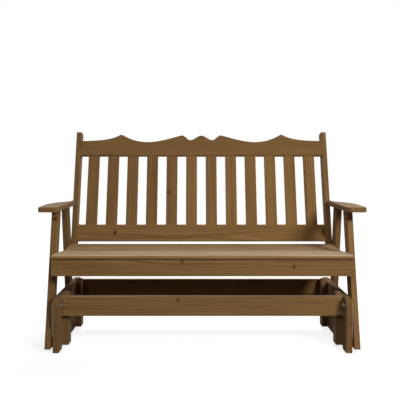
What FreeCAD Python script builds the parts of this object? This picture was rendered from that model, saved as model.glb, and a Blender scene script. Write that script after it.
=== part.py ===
import FreeCAD, Part
import os
import re
import Sketcher

# A glider bench: a base that stands on four feet, and a seat that hangs from it on four links.
# X runs along the bench, Y from front to back and Z up. Lengths are in mm, angles in degrees.
# Depths are written behind the front end of the base, and originDepth moves them to the middle.

backSlatCount = 12
seatSlatCount = 7
boltSides = 12
screwSides = 8
nutSides = 6

hair = 1e-3     # two spots this near each other are the same

# Handles of the crest's ogees from its end to its middle, as shares of each ogee's run
crestHandles = [(0.9, 0.09), (0.05, 0.6), (0.42, 0.09), (0.31, 0.32), (0.37, 0.33)]

sizes = {
    # timber
    "boardThick": 30,        # side boards, cleats, rails, supports, legs and width of the posts
    "edgeRound": 3,          # radius along the edges of a board
    # base
    "baseLength": 579,       # front to back, over the upper side boards
    "baseHalf": 743,         # middle of the bench to the outer face of the side boards
    "sideJoint": 138,        # height where the lower side board meets the upper one
    "upperSideHeight": 132,
    "sideCorner": 35,        # radius of the upper side board's top corners
    "lowerSetback": 4,      # the lower side board is this much shorter at each end
    "footLength": 72,
    "footRelief": 15,        # height of the relieved underside between the feet
    "reliefRound": 12,
    "stretcherSetback": 62,
    "stretcherBottom": 169,
    "stretcherHeight": 99,
    "cleatWidth": 64,
    "cleatBottom": 14,
    "cleatTop": 281,
    "cleatClip": 20,         # clipped top corners of a cleat
    # glide links and their pivots
    "pivotInset": 40,        # pivots from the ends of the base
    "pivotHeight": 230,      # upper pivots above the floor
    "linkGap": 10,           # room for the links between base and legs
    "linkLength": 152,       # between the two pivots of a link
    "linkWidth": 32,
    "linkThick": 4.5,
    "bushingWall": 2,
    "linkEndFlat": 0.02,     # left between the rounds of a link's end
    "bushingClear": 0.05,    # running clearance of a bolt in its bushing
    "sideClear": 0.3,        # sideways clearance of a link
    "boltRadius": 5,
    "boltThreadStep": 1,     # a pivot bolt's thread is this much slimmer than its shoulder
    "boltHeadRadius": 9,
    "boltHeadThick": 1.9,
    "boltEnd": 2,            # a bolt reaches this far past its nut
    "counterboreClear": 1,
    "counterboreDrop": 1,    # a pivot nut lies this deep below the leg's face
    "washerRadius": 11,
    "washerThick": 2,
    "nutAcross": 17,
    "nutThick": 8,
    "holeClear": 0.25,       # bolts and screws in the wood around them
    # seat
    "apronFront": -2,
    "apronThick": 28,
    "apronHeight": 80,
    "apronDrop": 4,          # the apron's top below the underside of the slats
    "endGap": 3,             # from the ends of slats and apron to the legs
    "supportOverhang": 22,   # the outer supports end this far behind the post's front face at backHeight
    "innerSupportShare": 0.3173,     # place of the inner supports, of half the seat
    "railDrop": 17,          # side and rear rails below the apron's top
    "seatFront": -6,
    "seatTop": 484,
    "seatDip": 17,           # how far the seat dips
    "dipDepth": 310,         # where it is lowest
    "slatWidth": 62,
    "slatThick": 18,
    "slatGap": 6,
    "noseRound": 5,
    "rearRailSetback": 30,   # seat rail in front of the rear edge of the last slat
    # legs and arms
    "legWidth": 80,
    "legBottom": 20,
    "frontLegFoot": -2,      # front edge of the front leg at its foot and at its head
    "frontLegHead": 152,
    "rearFootInset": 83,     # front edge of the rear leg's foot from the rear end of the base
    "rearHeadInset": 113,    # front edge of the rear leg's head from the back
    "braceBottom": 110,
    "braceHeight": 70,
    "armRise": 235,          # top of the arms over the seat
    "armThick": 25,
    "armFront": 50,
    "armOverlap": 17,        # the arm's inner edge inside the leg's inner face
    "armFrontWidth": 93,
    "armSwell": 12,          # the arm is this much wider where it is widest
    "armWidestDepth": 270,
    "armBend": 0.75,         # share of the outward bend in the ogee behind it
    "armTongue": 12,         # width of the arm beside the post
    "armTongueLength": 42,
    "armCorner": 16,
    "armEase": 2.5,          # eased top edge
    # back
    "backLean": 14.7,
    "backGap": 19,           # from the last slat to the back, leanRise over the seat
    "leanRise": 16,
    "postDeep": 62,
    "postLift": 10,          # foot of the posts over the apron's lower edge
    "postRise": 642,         # top of the posts over the seat
    "lowerRailRise": 7,
    "lowerRailHeight": 93,
    "crestDrop": 141,        # lower edge of the crest below the top of the posts
    "crestEnd": 90.7,          # heights of the crest's outline, along the lean
    "crestOuterPeak": 130.4,
    "crestLow": 83.7,
    "crestSidePeak": 125.8,
    "crestValley": 96.2,
    "crestMiddle": 124.5,
    "outerPeakShare": 0.665, # places along the crest, of half its length
    "lowShare": 0.446,
    "sidePeakShare": 0.160,
    "valleyShare": 0.093,
    "backSlatWidth": 65,
    "backSlatThick": 20,
    "backSlatEndGap": 48.25, # between the end slats and the posts
    "backSlatSetback": 5,
    # screws and bolts of the wood
    "screwRadius": 2.5,
    "screwHeadRadius": 4.5,
    "screwHeadThick": 1.5,
    "screwGrip": 30,         # length of a screw in the second board
    "stretcherScrewInset": 19,
    "apronScrewDrop": 37,    # apron screws below the apron's top
    "legBoltRadius": 4,
    "legBoltHeadRadius": 9,
    "legBoltHeadThick": 3.5,
    "legBoltNutAcross": 13,
    "legBoltNutThick": 6.5,
    "legBoltRise": 33,       # over the apron's lower edge
    "armScrewDepth": 24,     # behind the front face of the post
    "armScrewTip": 3,        # wood left beyond the arm screw
}

# Sizes and places that follow from the ones above
places = {
    "baseTop": "sideJoint + upperSideHeight",
    "slatPitch": "slatWidth + slatGap",
    "seatRear": f"seatFront + {seatSlatCount} * slatPitch - slatGap",
    "backDepth": "seatRear + backGap",
    "backHeight": "seatTop + leanRise",
    "apronTop": "seatTop - slatThick - apronDrop",
    "apronBottom": "apronTop - apronHeight",
    "railTop": "apronTop - railDrop",
    "supportRear": "backDepth + supportOverhang",
    "legBoltHeight": "apronBottom + legBoltRise",
    "armTop": "seatTop + armRise",
    "postBottom": "apronBottom + postLift",
    "postTop": "seatTop + postRise",
    "lowerRailBottom": "seatTop + lowerRailRise",
    "lowerRailTop": "lowerRailBottom + lowerRailHeight",
    "crestBottom": "postTop - crestDrop",
    "innerFace": "baseHalf - boardThick",
    "cleatFace": "innerFace - boardThick",
    "stretcherRear": "stretcherSetback + boardThick",
    "sideGap": "(linkGap - linkThick) / 2",
    "linkInner": "baseHalf + sideGap",
    "linkOuter": "linkInner + linkThick",
    "bushingInner": "boltRadius + bushingClear",
    "bushingOuter": "bushingInner + bushingWall",
    "lowerPivotHeight": "pivotHeight - linkLength",
    "seatHalf": "baseHalf + linkGap",
    "legOuter": "seatHalf + boardThick",
    "postFace": "seatHalf - boardThick",
    "supportFace": "postFace - boardThick",
    "legTop": "armTop - armThick",
    "innerSupportPlace": "seatHalf * innerSupportShare",
    "rearLegFoot": "baseLength - rearFootInset",
    "rearLegHead": "backDepth - rearHeadInset",
    "frontRun": "(frontLegHead - frontLegFoot) / (legTop - legBottom)",
    "rearRun": "(rearLegHead - rearLegFoot) / (legTop - legBottom)",
    "frontSpan": "legWidth * sqrt(1 + frontRun ^ 2)",
    "rearSpan": "legWidth * sqrt(1 + rearRun ^ 2)",
    "apronRear": "apronFront + apronThick",
    "dipStart": "seatFront - slatGap / 2 + slatPitch",
    "rearRailFront": "seatRear - rearRailSetback",
    "leanCos": "cos(backLean * 1 deg)",
    "leanTan": "tan(backLean * 1 deg)",
    "postTopAlong": "(postTop - backHeight) / leanCos",
    "postBottomAlong": "(postBottom - backHeight) / leanCos",
    "lowerRailBottomAlong": "(lowerRailBottom - backHeight) / leanCos",
    "lowerRailTopAlong": "(lowerRailTop - backHeight) / leanCos",
    "crestBottomAlong": "(crestBottom - backHeight) / leanCos",
    "postRear": "backDepth + (postTop - backHeight) * leanTan + postDeep * leanCos",
    "originDepth": "(seatFront + postRear) / 2",
    "armScrewHeight": "armTop - armThick / 2",
    "armScrewBack": "backDepth + (armScrewHeight - backHeight) * leanTan + armScrewDepth",
    "armInner": "seatHalf - armOverlap",
    "armFrontHalf": "armInner + armFrontWidth",
    "armWidest": "armFrontHalf + armSwell",
    "tongueOuter": "seatHalf + armTongue",
    "tongueFront": "backDepth + (legTop - backHeight) * leanTan - sideClear",
    "tongueRear": "tongueFront + armTongueLength",
    "boltReach": "legBoltHeight - legBottom",
    "frontBoltDepth": "frontLegFoot + frontRun * boltReach + frontSpan / 2",
    "postAtBolt": "backDepth + (legBoltHeight - backHeight) * leanTan",
    "postBoltDepth": "(postAtBolt + rearLegFoot + rearRun * boltReach + rearSpan) / 2",
    "outerPeakPlace": "postFace * outerPeakShare",
    "lowPlace": "postFace * lowShare",
    "sidePeakPlace": "postFace * sidePeakShare",
    "valleyPlace": "postFace * valleyShare",
    "backSlatPitch": f"(2 * (postFace - backSlatEndGap) - backSlatWidth) / {backSlatCount - 1}",
    "threadRadius": "boltRadius - boltThreadStep",
}

doc = FreeCAD.newDocument("GliderBench")
sheet = doc.addObject("Spreadsheet::Sheet", "Sizes")
for row, (name, value) in enumerate(sizes.items(), 1):
    sheet.set(f"A{row}", name)
    sheet.set(f"B{row}", str(value))
    sheet.setAlias(f"B{row}", name)
doc.recompute()

nodes = {}


def bound(formula):
    """the formula with its places written out and its sizes read from the sheet"""
    for name in reversed(places):
        formula = re.sub(rf"\b{name}\b", f"({places[name]})", formula)
    return re.sub(r"\b(" + "|".join(sizes) + r")\b", r"Sizes.\1", formula)


def number(formula):
    value = sheet.evalExpression(bound(formula))
    return float(getattr(value, "Value", value))


def newBody(label, along, back="0", up="0"):
    body = doc.addObject("PartDesign::Body", label)
    body.Label = label
    place = (("x", along), ("y", f"{back} - originDepth"), ("z", up))
    for axis, formula in place:
        body.setExpression(f"Placement.Base.{axis}", bound(formula))
    return body


def newSketch(body, plane):
    sketch = body.newObject("Sketcher::SketchObject", f"{body.Label}_sketch")
    origin = [feature for feature in body.Origin.OriginFeatures if feature.Role == plane][0]
    sketch.AttachmentSupport = [(origin, "")]
    sketch.MapMode = "FlatFace"
    return sketch


def bindPoint(sketch, geometry, point, spot):
    for kind, formula in zip(("DistanceX", "DistanceY"), spot):
        constraint = Sketcher.Constraint(kind, -1, 1, geometry, point, number(formula))
        row = sketch.addConstraint(constraint)
        sketch.setExpression(f"Constraints[{row}]", bound(formula))


def polygons(body, plane, outlines):
    sketch = newSketch(body, plane)
    first = 0
    for corners in outlines:
        spots = [FreeCAD.Vector(number(across), number(up), 0) for across, up in corners]
        for start, end in zip(spots, spots[1:] + spots[:1]):
            sketch.addGeometry(Part.LineSegment(start, end), False)
        for side in range(len(corners)):
            following = first + (side + 1) % len(corners)
            sketch.addConstraint(Sketcher.Constraint("Coincident", first + side, 2, following, 1))
        for side, corner in enumerate(corners):
            bindPoint(sketch, first + side, 1, corner)
        first += len(corners)
    return sketch


def polygon(body, plane, corners):
    return polygons(body, plane, [corners])


def manySided(centre, radius, sides):
    """corners of a regular polygon on a circle"""
    across, up = centre
    angles = [f"{360 * side / sides} deg" for side in range(sides)]
    return [(f"{across} + ({radius}) * cos({angle})", f"{up} + ({radius}) * sin({angle})")
            for angle in angles]


def circles(body, plane, centres, radius):
    sketch = newSketch(body, plane)
    for index, (across, up) in enumerate(centres):
        middle = FreeCAD.Vector(number(across), number(up), 0)
        sketch.addGeometry(Part.Circle(middle, FreeCAD.Vector(0, 0, 1), number(radius)), False)
        bindPoint(sketch, index, 3, (across, up))
        row = sketch.addConstraint(Sketcher.Constraint("Radius", index, number(radius)))
        sketch.setExpression(f"Constraints[{row}]", bound(radius))
    return sketch


def pad(sketch, length):
    """a pad towards +X, +Y or +Z from a plane of its body"""
    body = sketch.getParentGeoFeatureGroup()
    feature = body.newObject("PartDesign::Pad", f"{body.Label}_pad")
    feature.Profile = sketch
    feature.Reversed = sketch.AttachmentSupport[0][0].Role == "XZ_Plane"
    feature.setExpression("Length", bound(length))
    doc.recompute()
    return feature


def cut(body, sketch, depth):
    """the sketch cut out of the body towards +X, +Y or +Z"""
    before = body.Shape.Volume
    feature = body.newObject("PartDesign::Pocket", f"{body.Label}_holes")
    feature.Profile = sketch
    feature.Reversed = sketch.AttachmentSupport[0][0].Role != "XZ_Plane"
    feature.setExpression("Length", bound(depth))
    doc.recompute()
    if not body.Shape.Volume < before:
        raise ValueError(f"{body.Label}: the holes cut nothing")


def drill(body, plane, centres, radius, depth, sides=0):
    """holes from a plane of the body, round or, for a fastener in wood, with flat sides about it"""
    if sides:
        wide = f"({radius}) / cos({180 / sides} deg)"
        sketch = polygons(body, plane, [manySided(centre, wide, sides) for centre in centres])
    else:
        sketch = circles(body, plane, centres, radius)
    cut(body, sketch, depth)


def roundEdges(body, radius, wanted):
    """a round on the edges for which wanted is true"""
    tip = body.Tip
    names = [f"Edge{row}" for row, edge in enumerate(tip.Shape.Edges, 1) if wanted(edge)]
    feature = body.newObject("PartDesign::Fillet", f"{body.Label}_round")
    feature.Base = (tip, names)
    feature.setExpression("Radius", bound(radius))
    doc.recompute()


def alongAxis(edge, axis):
    box = edge.BoundBox
    lengths = {"X": box.XLength, "Y": box.YLength, "Z": box.ZLength}
    own = lengths.pop(axis)
    return own > hair and max(lengths.values()) < hair


def longEdges(axis):
    return lambda edge: alongAxis(edge, axis)


def frontEdges(axis):
    return lambda edge: alongAxis(edge, axis) and edge.BoundBox.YMax < hair


def topEdges(body, axis):
    height = body.Tip.Shape.BoundBox.ZMax
    return lambda edge: alongAxis(edge, axis) and edge.BoundBox.ZMin > height - hair


def rectangle(left, right, low, high):
    return [(left, low), (right, low), (right, high), (left, high)]


def keep(label, piece):
    piece.Label = label
    nodes[label] = piece
    return piece


def mirrored(piece, axis, label=""):
    """the same piece on the other side: X from right to left, Y from the base's front to its rear"""
    copy = doc.addObject("Part::Mirroring", label or f"{piece.Label}_{axis}")
    copy.Label = label or f"{piece.Label}_{axis}"
    copy.Source = piece
    copy.Normal = FreeCAD.Vector(axis == "X", axis == "Y", 0)
    if axis == "Y":
        copy.setExpression("Base.y", bound("baseLength / 2 - originDepth"))
    doc.recompute()
    return copy


def bothSides(right, name):
    keep(f"right_{name}", right)
    keep(f"left_{name}", mirrored(right, "X", f"left_{name}"))


def stepped(label, plane, steps, bore, along, back, up):
    """prisms in line, each (start, length, radius, sides), round where sides is 0, with a bore or none"""
    body = newBody(label, along, back, up)
    centre = ("0", "0")
    for start, length, radius, sides in steps:
        if sides:
            sketch = polygon(body, plane, manySided(centre, radius, sides))
        else:
            sketch = circles(body, plane, [centre], radius)
        shift = start if plane == "YZ_Plane" else f"-({start})"
        sketch.setExpression("AttachmentOffset.Base.z", bound(shift))
        pad(sketch, length)
    if bore:
        start, length, radius, sides = bore
        sketch = polygon(body, plane, manySided(centre, f"({radius}) / cos({180 / sides} deg)", sides))
        sketch.setExpression("AttachmentOffset.Base.z", bound(start))
        cut(body, sketch, length)
    return body


def ring(label, inner, outer, thick, along, back, up):
    """a tube with a round bore, its outside with flat sides"""
    body = newBody(label, along, back, up)
    pad(polygon(body, "YZ_Plane", manySided(("0", "0"), outer, boltSides)), thick)
    drill(body, "YZ_Plane", [("0", "0")], inner, thick)
    return body


def nut(label, across, thread, thick, seat, outwards, back, up):
    """a flanged nut that bears on seat, on the side that outwards names"""
    flange, cap = "0", "washerThick"
    if outwards < 0:
        flange, cap = "-washerThick", f"-(washerThick + {thick})"
    steps = [(flange, "washerThick", "washerRadius", boltSides),
             (cap, thick, f"{across} / sqrt(3)", nutSides)]
    low = flange if outwards > 0 else cap
    bore = (low, f"washerThick + {thick}", f"{thread} + bushingClear", boltSides)
    return stepped(label, "YZ_Plane", steps, bore, seat, back, up)


def group(label, pieces):
    compound = doc.addObject("Part::Compound", label)
    compound.Links = pieces
    doc.recompute()
    return keep(label, compound)


# Base: side boards, cleats and stretchers

def upperSide():
    body = newBody("right_upper_side", "innerFace")
    pad(polygon(body, "YZ_Plane", rectangle("0", "baseLength", "sideJoint", "baseTop")), "boardThick")
    roundEdges(body, "sideCorner", topEdges(body, "X"))
    holes = [("pivotInset", "pivotHeight"), ("baseLength - pivotInset", "pivotHeight")]
    drill(body, "YZ_Plane", holes, "threadRadius + holeClear", "boardThick", boltSides)
    return body


def lowerSide():
    body = newBody("right_lower_side", "innerFace")
    front = "lowerSetback"
    rear = "baseLength - lowerSetback"
    corners = [
        (front, "0"), (f"{front} + footLength", "0"), (f"{front} + footLength", "footRelief"),
        (f"{rear} - footLength", "footRelief"), (f"{rear} - footLength", "0"), (rear, "0"),
        (rear, "sideJoint"), (front, "sideJoint"),
    ]
    pad(polygon(body, "YZ_Plane", corners), "boardThick")
    relief = number("footRelief")
    ends = (number(f"{front} + footLength"), number(f"{rear} - footLength"))

    def reliefEnd(edge):
        middle = edge.CenterOfMass
        atEnd = min(abs(middle.y - end) for end in ends) < hair
        return alongAxis(edge, "X") and atEnd and abs(middle.z - relief) < hair

    roundEdges(body, "reliefRound", reliefEnd)
    return body


def screwHeights(bottom, height):
    return [f"{bottom} + stretcherScrewInset", f"{bottom} + {height} - stretcherScrewInset"]


def cleat():
    body = newBody("right_front_cleat", "cleatFace", "stretcherRear")
    corners = [
        ("0", "cleatBottom"), ("cleatWidth", "cleatBottom"), ("cleatWidth", "cleatTop - cleatClip"),
        ("cleatWidth - cleatClip", "cleatTop"), ("cleatClip", "cleatTop"), ("0", "cleatTop - cleatClip"),
    ]
    pad(polygon(body, "YZ_Plane", corners), "boardThick")
    holes = [("boardThick / 2", up) for up in screwHeights("stretcherBottom", "stretcherHeight")]
    drill(body, "XZ_Plane", holes, "screwRadius", "screwGrip", screwSides)
    return body


def stretcher():
    body = newBody("front_stretcher", "0", "stretcherSetback", "stretcherBottom")
    pad(polygon(body, "XZ_Plane", rectangle("-innerFace", "innerFace", "0", "stretcherHeight")), "boardThick")
    roundEdges(body, "edgeRound", frontEdges("X"))
    holes = []
    for side in ("", "-"):
        for up in screwHeights("0", "stretcherHeight"):
            holes.append((f"{side}(cleatFace + boardThick / 2)", up))
    drill(body, "XZ_Plane", holes, "screwRadius + holeClear", "boardThick", screwSides)
    return body


def woodScrew(label, along, back, up, grip):
    """a screw driven towards +Y, its head in front of the board"""
    steps = [("-screwHeadThick", "screwHeadThick", "screwHeadRadius", screwSides),
             ("0", grip, "screwRadius - holeClear / 2", screwSides)]
    return stepped(label, "XZ_Plane", steps, None, along, back, up)


upper = upperSide()
bothSides(upper, "upper_side")
bothSides(lowerSide(), "lower_side")
frontCleat = cleat()
bothSides(frontCleat, "front_cleat")
bothSides(mirrored(frontCleat, "Y"), "rear_cleat")
frontStretcher = keep("front_stretcher", stretcher())
keep("rear_stretcher", mirrored(frontStretcher, "Y", "rear_stretcher"))

screws = []
for row, up in enumerate(screwHeights("stretcherBottom", "stretcherHeight")):
    screw = woodScrew(
        f"stretcher_screw_{row}", "cleatFace + boardThick / 2", "stretcherSetback", up,
        "boardThick + screwGrip",
    )
    rear = mirrored(screw, "Y")
    screws += [screw, rear, mirrored(screw, "X"), mirrored(rear, "X")]
group("base_screws", screws)


# Glide links, their bushings and the bolts that they turn on

def link():
    body = newBody("front_right_link", "linkInner", "pivotInset", "lowerPivotHeight")
    pad(polygon(body, "YZ_Plane", rectangle("-linkWidth / 2", "linkWidth / 2", "-linkWidth / 2",
                                            "linkLength + linkWidth / 2")), "linkThick")
    roundEdges(body, "(linkWidth - linkEndFlat) / 2", longEdges("X"))
    drill(body, "YZ_Plane", [("0", "0"), ("0", "linkLength")], f"bushingOuter * cos({180 / boltSides} deg)",
          "linkThick", boltSides)
    return body


def bushings():
    pair = []
    for name, up in (("lower", "lowerPivotHeight"), ("upper", "pivotHeight")):
        label = f"front_right_{name}_bushing"
        pair.append(ring(label, "bushingInner", "bushingOuter", "linkThick", "linkInner", "pivotInset", up))
    return group("front_right_bushings", pair)


def upperBolt():
    """a shouldered bolt: the link turns on the shoulder, which bears on the side board; nut inside it"""
    where = ("0", "pivotInset", "pivotHeight")
    face = "linkOuter + sideClear"
    end = "innerFace - washerThick - nutThick - boltEnd"
    steps = [(face, "boltHeadThick", "boltHeadRadius", nutSides),
             ("baseHalf", f"{face} - baseHalf", "boltRadius", 0),
             (end, f"baseHalf - ({end})", "threadRadius", boltSides)]
    return [stepped("upper_bolt", "YZ_Plane", steps, None, *where),
            nut("upper_nut", "nutAcross", "threadRadius", "nutThick", "innerFace", -1, *where[1:])]


def lowerBolt():
    """the same through the leg, its nut in the leg's counterbore"""
    where = ("0", "pivotInset", "lowerPivotHeight")
    face = "linkInner - sideClear"
    end = "legOuter"
    steps = [(f"{face} - boltHeadThick", "boltHeadThick", "boltHeadRadius", nutSides),
             (face, f"seatHalf - ({face})", "boltRadius", 0),
             ("seatHalf", f"{end} - seatHalf", "threadRadius", boltSides)]
    seat = "legOuter - nutThick - washerThick - counterboreDrop"
    return [stepped("lower_bolt", "YZ_Plane", steps, None, *where),
            nut("lower_nut", "nutAcross", "threadRadius", "nutThick", seat, 1, *where[1:])]


def fourCorners(pieces):
    right = pieces + [mirrored(piece, "Y") for piece in pieces]
    return right + [mirrored(piece, "X") for piece in right]


frontLink = keep("front_right_link", link())
rearLink = keep("rear_right_link", mirrored(frontLink, "Y", "rear_right_link"))
keep("front_left_link", mirrored(frontLink, "X", "front_left_link"))
keep("rear_left_link", mirrored(rearLink, "X", "rear_left_link"))
frontBushings = bushings()
rearBushings = keep("rear_right_bushings", mirrored(frontBushings, "Y", "rear_right_bushings"))
keep("front_left_bushings", mirrored(frontBushings, "X", "front_left_bushings"))
keep("rear_left_bushings", mirrored(rearBushings, "X", "rear_left_bushings"))
group("upper_pivot_bolts", fourCorners(upperBolt()))
group("lower_pivot_bolts", fourCorners(lowerBolt()))


# Seat: legs and their braces

def leg(label, foot, head, span, pivotDepth, bolts):
    body = newBody(label, "seatHalf")
    corners = [
        (foot, "legBottom"), (f"{foot} + {span}", "legBottom"),
        (f"{head} + {span}", "legTop"), (head, "legTop"),
    ]
    pad(polygon(body, "YZ_Plane", corners), "boardThick")
    half = number("(legTop - legBottom) / 2")
    roundEdges(body, "edgeRound", lambda edge: edge.BoundBox.ZLength > half)
    drill(body, "YZ_Plane", [(pivotDepth, "lowerPivotHeight")], "threadRadius + holeClear", "boardThick",
          boltSides)
    counterbore(body, pivotDepth, "lowerPivotHeight")
    drill(body, "YZ_Plane", bolts, "legBoltRadius + holeClear", "boardThick", boltSides)
    return body


def counterbore(body, back, up):
    """a recess in the leg's outer face for the pivot bolt's washer and nut"""
    sketch = circles(body, "YZ_Plane", [(back, up)], "washerRadius + counterboreClear")
    sketch.AttachmentOffset = FreeCAD.Placement()
    sketch.setExpression("AttachmentOffset.Base.z", bound("boardThick"))
    feature = body.newObject("PartDesign::Pocket", f"{body.Label}_counterbore")
    feature.Profile = sketch
    feature.setExpression("Length", bound("nutThick + washerThick + counterboreDrop"))
    doc.recompute()


def legBrace():
    body = newBody("right_leg_brace", "seatHalf")
    low = "braceBottom - legBottom"
    high = f"{low} + braceHeight"
    corners = [
        (f"frontLegFoot + frontSpan + frontRun * ({low})", "braceBottom"),
        (f"rearLegFoot + rearRun * ({low})", "braceBottom"),
        (f"rearLegFoot + rearRun * ({high})", "braceBottom + braceHeight"),
        (f"frontLegFoot + frontSpan + frontRun * ({high})", "braceBottom + braceHeight"),
    ]
    pad(polygon(body, "YZ_Plane", corners), "boardThick")
    return body


frontLeg = leg("front_right_leg", "frontLegFoot", "frontLegHead", "frontSpan", "pivotInset",
               [("frontBoltDepth", "legBoltHeight")])
keep("front_right_leg", frontLeg)
keep("front_left_leg", mirrored(frontLeg, "X", "front_left_leg"))
rearLeg = leg("rear_right_leg", "rearLegFoot", "rearLegHead", "rearSpan", "baseLength - pivotInset",
              [("postBoltDepth", "legBoltHeight")])
keep("rear_right_leg", rearLeg)
keep("rear_left_leg", mirrored(rearLeg, "X", "rear_left_leg"))
brace = legBrace()
group("leg_braces", [brace, mirrored(brace, "X")])


# Seat: apron, rails, contoured supports and slats

def seatLine(joint):
    """depth and height of the slats' underside at a joint between two slats, counted from the front"""
    depth = f"seatFront - slatGap / 2 + {joint} * slatPitch"
    if joint < 2:
        return depth, "seatTop - slatThick"
    swing = f"180 deg * ({depth} - dipStart) / (dipDepth - dipStart)"
    return depth, f"seatTop - slatThick - seatDip * (1 - cos({swing})) / 2"


def apron():
    body = newBody("seat_apron", "0", "apronFront", "apronBottom")
    half = "(seatHalf - endGap)"
    pad(polygon(body, "XZ_Plane", rectangle(f"-{half}", half, "0", "apronTop - apronBottom")), "apronThick")
    roundEdges(body, "edgeRound", frontEdges("X"))
    holes = []
    for side in ("", "-"):
        for along in ("(supportFace + boardThick / 2)", "innerSupportPlace"):
            holes.append((f"{side}{along}", "apronTop - apronBottom - apronScrewDrop"))
    drill(body, "XZ_Plane", holes, "screwRadius + holeClear", "apronThick", screwSides)
    return body


def support(label, along, rear, bolts):
    """a board on edge whose top has a flat for every slat"""
    body = newBody(label, along, "apronRear")
    corners = [("0", "apronBottom"), (f"{rear} - apronRear", "apronBottom")]
    last = seatSlatCount - 1
    if bolts:
        last = seatSlatCount
        corners.append((f"{rear} - apronRear", seatLine(last)[1]))
    else:
        start, end = seatLine(last), seatLine(last + 1)
        share = f"({rear} - ({start[0]})) / slatPitch"
        corners.append((f"{rear} - apronRear", f"{start[1]} + ({end[1]} - ({start[1]})) * {share}"))
    for joint in range(last, 0, -1):
        depth, height = seatLine(joint)
        corners.append((f"{depth} - apronRear", height))
    corners.append(("0", "seatTop - slatThick"))
    pad(polygon(body, "YZ_Plane", corners), "boardThick")
    hole = [("boardThick / 2", "apronTop - apronScrewDrop")]
    drill(body, "XZ_Plane", hole, "screwRadius", "screwGrip", screwSides)
    if bolts:
        spots = [(f"{back} - apronRear", "legBoltHeight") for back in bolts]
        drill(body, "YZ_Plane", spots, "legBoltRadius + holeClear", "boardThick", boltSides)
    return body


def sideRail():
    """the board between leg and support, whose rear end follows the post's front face"""
    body = newBody("right_side_rail", "postFace")
    corners = [
        ("apronRear", "apronBottom"), ("backDepth + (apronBottom - backHeight) * leanTan", "apronBottom"),
        ("backDepth + (railTop - backHeight) * leanTan", "railTop"), ("apronRear", "railTop"),
    ]
    pad(polygon(body, "YZ_Plane", corners), "boardThick")
    drill(body, "YZ_Plane", [("frontBoltDepth", "legBoltHeight")], "legBoltRadius + holeClear", "boardThick",
          boltSides)
    return body


def rearRail():
    body = newBody("seat_rear_rail", "0", "rearRailFront", "apronBottom")
    outline = rectangle("-supportFace", "supportFace", "0", "railTop - apronBottom")
    pad(polygon(body, "XZ_Plane", outline), "boardThick")
    return body


def seatSlat(index):
    """one slat, lying on its flat of the supports"""
    depth, height = seatLine(index)
    nextDepth, nextHeight = seatLine(index + 1)
    rise = f"({nextHeight} - ({height}))"
    body = newBody(f"seat_slat_{index + 1}", "-(seatHalf - endGap)", depth, height)
    body.Placement.Rotation = FreeCAD.Rotation(FreeCAD.Vector(1, 0, 0), 1)
    turn = f"atan({rise} / slatPitch)"
    body.setExpression("Placement.Rotation.Angle", bound(turn))
    start = f"(slatPitch / cos({turn}) - slatWidth) / 2"
    outline = rectangle(start, f"{start} + slatWidth", "0", "slatThick")
    pad(polygon(body, "YZ_Plane", outline), "2 * (seatHalf - endGap)")
    top = number("slatThick")

    def frontEdge(edge):
        return alongAxis(edge, "X") and edge.CenterOfMass.y < number(f"{start} + slatWidth / 2")

    if index == 0:
        roundEdges(body, "noseRound", frontEdge)
    else:
        roundEdges(body, "edgeRound", lambda edge: alongAxis(edge, "X") and edge.CenterOfMass.z > top - hair)
    return body


keep("seat_apron", apron())
supportRight = support("right_outer_support", "supportFace", "supportRear",
                       ["frontBoltDepth", "postBoltDepth"])
bothSides(supportRight, "outer_support")
bothSides(support("right_inner_support", "innerSupportPlace - boardThick / 2", "rearRailFront", []),
          "inner_support")
bothSides(sideRail(), "side_rail")
keep("seat_rear_rail", rearRail())
for index in range(seatSlatCount):
    keep(f"seat_slat_{index + 1}", seatSlat(index))


# Back: posts, rails and slats, all in a frame that leans about the posts' front face

def backBody(label, along, behind):
    """a body whose Z runs up along the lean and whose Y runs square to it"""
    body = newBody(label, along, f"backDepth + {behind} * leanCos",
                   f"backHeight - {behind} * sin(backLean * 1 deg)")
    body.Placement.Rotation = FreeCAD.Rotation(FreeCAD.Vector(1, 0, 0), -1)
    body.setExpression("Placement.Rotation.Angle", bound("-backLean * 1 deg"))
    return body


def postPoint(back, up):
    """a spot of the bench's side view, as distances behind and along the post's front face"""
    away = f"(({back}) - backDepth)"
    rise = f"(({up}) - backHeight)"
    lean = "backLean * 1 deg"
    return f"{away} * cos({lean}) - {rise} * sin({lean})", f"{away} * sin({lean}) + {rise} * cos({lean})"


def post():
    body = backBody("right_post", "postFace", "0")
    outline = rectangle("0", "postDeep", "postBottomAlong", "postTopAlong")
    pad(polygon(body, "YZ_Plane", outline), "boardThick")
    roundEdges(body, "edgeRound", frontEdges("Z"))
    drill(body, "YZ_Plane", [postPoint("postBoltDepth", "legBoltHeight")],
          "legBoltRadius + holeClear", "boardThick", boltSides)
    drill(body, "YZ_Plane", [postPoint("armScrewBack", "armScrewHeight")],
          "screwRadius + holeClear", "boardThick", screwSides)
    return body


def lowerRail():
    body = backBody("lower_back_rail", "0", "0")
    outline = rectangle("-postFace", "postFace", "lowerRailBottomAlong", "lowerRailTopAlong")
    pad(polygon(body, "XZ_Plane", outline), "boardThick")
    roundEdges(body, "edgeRound", longEdges("X"))
    return body


def backSlat(index):
    place = f"({index} - {(backSlatCount - 1) / 2}) * backSlatPitch"
    body = backBody(f"back_slat_{index + 1:02d}", place, "backSlatSetback")
    outline = rectangle("-backSlatWidth / 2", "backSlatWidth / 2", "lowerRailTopAlong", "crestBottomAlong")
    pad(polygon(body, "XZ_Plane", outline), "backSlatThick")
    roundEdges(body, "edgeRound", frontEdges("Z"))
    return body


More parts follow.
